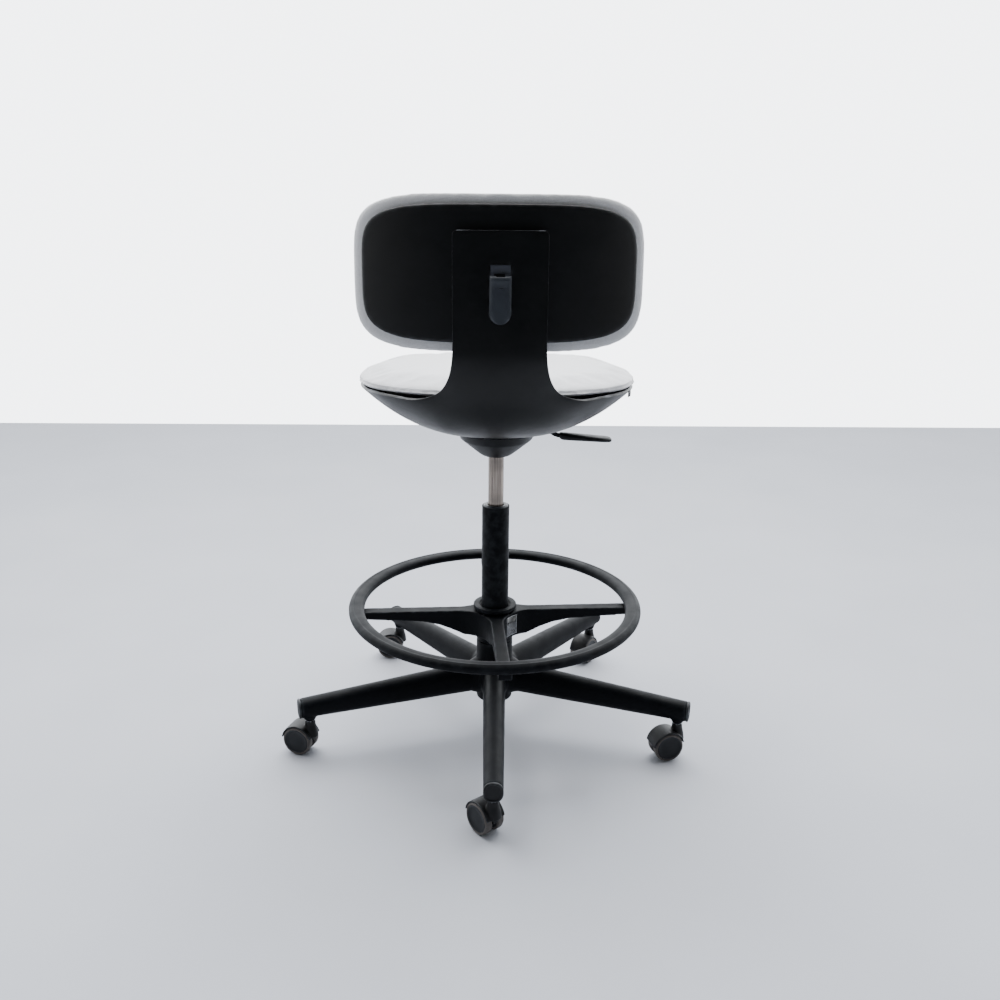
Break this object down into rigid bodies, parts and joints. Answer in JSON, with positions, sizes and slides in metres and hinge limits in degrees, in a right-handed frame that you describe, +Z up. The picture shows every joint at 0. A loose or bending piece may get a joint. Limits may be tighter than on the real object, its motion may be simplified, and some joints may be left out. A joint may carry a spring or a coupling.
{
  "type": "drafting chair",
  "caption": "Armless drafting chair with a gas lift, footring, five-star base on twin-wheel casters and a height-adjustable backrest.",
  "frame": {"origin": "middle of the footprint of the whole chair, on the floor", "axes": "+Z up, -Y the way the sitter faces, -X the sitter's right"},
  "size_m": [0.7533, 0.6916, 0.9991],
  "materials": {
    "black_powder_coat": "black semi-matte powder coat with a fine orange-peel texture",
    "black_plastic": "black moulded plastic with a fine matte grain",
    "grey_plastic": "dark grey moulded plastic, satin",
    "light_grey_fabric": "light grey melange woven upholstery",
    "tag_textile": "black woven tag, blank",
    "label_film": "dark self-adhesive film with a pale border, blank",
    "cylinder_steel": "warm grey ground steel",
    "zinc_plated_steel": "zinc-plated steel",
    "wheel_plastic": "dark grey wheel with a softer grey-brown tread"
  },
  "bodies": {
    "base": {"five_star_base": "black_powder_coat", "leg_plug_1": "black_plastic", "leg_plug_2": "black_plastic", "leg_plug_3": "black_plastic", "leg_plug_4": "black_plastic", "leg_plug_5": "black_plastic", "stand_tube": "black_powder_coat", "guide_bush": "grey_plastic", "thrust_bearing": "zinc_plated_steel", "footring": "black_powder_coat", "footring_collar": "black_powder_coat", "footring_label": "label_film", "caster_stem_1": "zinc_plated_steel", "caster_stem_2": "zinc_plated_steel", "caster_stem_3": "zinc_plated_steel", "caster_stem_4": "zinc_plated_steel", "caster_stem_5": "zinc_plated_steel"},
    "piston": {"piston_rod": "zinc_plated_steel", "retaining_clip": "zinc_plated_steel"},
    "seat": {"gas_cylinder": "cylinder_steel", "mechanism_cover": "black_plastic", "mechanism_plate": "zinc_plated_steel", "mechanism_bolt_1": "zinc_plated_steel", "mechanism_bolt_2": "zinc_plated_steel", "mechanism_bolt_3": "zinc_plated_steel", "mechanism_bolt_4": "zinc_plated_steel", "lever_pin": "zinc_plated_steel", "seat_shell": "black_plastic", "seat_pan": "black_plastic", "seat_pad": "light_grey_fabric", "seat_tag": "tag_textile", "height_rack": "grey_plastic"},
    "height_lever": {"gas_lever": "black_powder_coat", "lever_grip": "black_plastic"},
    "valve": {"valve_button": "zinc_plated_steel"},
    "backrest": {"back_panel": "black_plastic", "back_pad": "light_grey_fabric", "back_carrier": "black_plastic", "clip_pin": "zinc_plated_steel"},
    "clip": {"clip_lever": "grey_plastic"},
    "caster_1": {"caster_hood_1": "black_plastic", "caster_axle_1": "zinc_plated_steel"},
    "wheel_left_1": {"caster_wheel_left_1": "wheel_plastic"},
    "wheel_right_1": {"caster_wheel_right_1": "wheel_plastic"},
    "caster_2": {"caster_hood_2": "black_plastic", "caster_axle_2": "zinc_plated_steel"},
    "wheel_left_2": {"caster_wheel_left_2": "wheel_plastic"},
    "wheel_right_2": {"caster_wheel_right_2": "wheel_plastic"},
    "caster_3": {"caster_hood_3": "black_plastic", "caster_axle_3": "zinc_plated_steel"},
    "wheel_left_3": {"caster_wheel_left_3": "wheel_plastic"},
    "wheel_right_3": {"caster_wheel_right_3": "wheel_plastic"},
    "caster_4": {"caster_hood_4": "black_plastic", "caster_axle_4": "zinc_plated_steel"},
    "wheel_left_4": {"caster_wheel_left_4": "wheel_plastic"},
    "wheel_right_4": {"caster_wheel_right_4": "wheel_plastic"},
    "caster_5": {"caster_hood_5": "black_plastic", "caster_axle_5": "zinc_plated_steel"},
    "wheel_left_5": {"caster_wheel_left_5": "wheel_plastic"},
    "wheel_right_5": {"caster_wheel_right_5": "wheel_plastic"}
  },
  "joints": [
    {"name": "seat_swivel", "type": "hinge", "parent": "base", "child": "piston", "pos_m": [-0.0169, -0.0299, 0.45], "axis": [0, 0, 1], "continuous": true},
    {"name": "seat_lift", "type": "slide", "parent": "piston", "child": "seat", "axis": [0, 0, 1], "range_m": [-0.088, 0.16]},
    {"name": "height_lever_lift", "type": "hinge", "parent": "seat", "child": "height_lever", "pos_m": [-0.0389, -0.0299, 0.628], "axis": [0, 1, 0], "range_deg": [0, 6], "stiffness_Nm_per_rad": 8},
    {"name": "valve_press", "type": "slide", "parent": "seat", "child": "valve", "axis": [0, 0, -1], "range_m": [0, 0.0024]},
    {"name": "backrest_height", "type": "slide", "parent": "seat", "child": "backrest", "axis": [0, -0.0517, 0.9987], "range_m": [-0.043, 0.001]},
    {"name": "clip_release", "type": "hinge", "parent": "backrest", "child": "clip", "pos_m": [-0.0169, 0.18781, 0.87746], "axis": [1, 0, 0], "range_deg": [0, 30], "stiffness_Nm_per_rad": 0.3},
    {"name": "caster_swivel_1", "type": "hinge", "parent": "base", "child": "caster_1", "pos_m": [-0.0107, 0.32505, 0.06], "axis": [0, 0, 1], "continuous": true},
    {"name": "wheel_roll_left_1", "type": "hinge", "parent": "caster_1", "child": "wheel_left_1", "pos_m": [0.00222, 0.3085, 0.0275], "axis": [0.788, 0.6157, 0], "continuous": true},
    {"name": "wheel_roll_right_1", "type": "hinge", "parent": "caster_1", "child": "wheel_right_1", "pos_m": [0.00222, 0.3085, 0.0275], "axis": [0.788, 0.6157, 0], "continuous": true},
    {"name": "caster_swivel_2", "type": "hinge", "parent": "base", "child": "caster_2", "pos_m": [-0.35256, 0.08568, 0.06], "axis": [0, 0, 1], "continuous": true},
    {"name": "wheel_roll_left_2", "type": "hinge", "parent": "caster_2", "child": "wheel_left_2", "pos_m": [-0.33227, 0.09111, 0.0275], "axis": [-0.2588, 0.9659, 0], "continuous": true},
    {"name": "wheel_roll_right_2", "type": "hinge", "parent": "caster_2", "child": "wheel_right_2", "pos_m": [-0.33227, 0.09111, 0.0275], "axis": [-0.2588, 0.9659, 0], "continuous": true},
    {"name": "caster_swivel_3", "type": "hinge", "parent": "base", "child": "caster_3", "pos_m": [-0.23054, -0.31342, 0.06], "axis": [0, 0, 1], "continuous": true},
    {"name": "wheel_roll_left_3", "type": "hinge", "parent": "caster_3", "child": "wheel_left_3", "pos_m": [-0.2182, -0.29643, 0.0275], "axis": [-0.809, 0.5878, 0], "continuous": true},
    {"name": "wheel_roll_right_3", "type": "hinge", "parent": "caster_3", "child": "wheel_right_3", "pos_m": [-0.2182, -0.29643, 0.0275], "axis": [-0.809, 0.5878, 0], "continuous": true},
    {"name": "caster_swivel_4", "type": "hinge", "parent": "base", "child": "caster_4", "pos_m": [0.18672, -0.3207, 0.06], "axis": [0, 0, 1], "continuous": true},
    {"name": "wheel_roll_left_4", "type": "hinge", "parent": "caster_4", "child": "wheel_left_4", "pos_m": [0.20771, -0.31997, 0.0275], "axis": [-0.0349, 0.9994, 0], "continuous": true},
    {"name": "wheel_roll_right_4", "type": "hinge", "parent": "caster_4", "child": "wheel_right_4", "pos_m": [0.20771, -0.31997, 0.0275], "axis": [-0.0349, 0.9994, 0], "continuous": true},
    {"name": "caster_swivel_5", "type": "hinge", "parent": "base", "child": "caster_5", "pos_m": [0.32259, 0.07389, 0.06], "axis": [0, 0, 1], "continuous": true},
    {"name": "wheel_roll_left_5", "type": "hinge", "parent": "caster_5", "child": "wheel_left_5", "pos_m": [0.34232, 0.06671, 0.0275], "axis": [0.342, 0.9397, 0], "continuous": true},
    {"name": "wheel_roll_right_5", "type": "hinge", "parent": "caster_5", "child": "wheel_right_5", "pos_m": [0.34232, 0.06671, 0.0275], "axis": [0.342, 0.9397, 0], "continuous": true}
  ],
  "couplings": [
    {"joint": "valve_press", "follows": "height_lever_lift", "m_per_rad": 0.022}
  ]
}
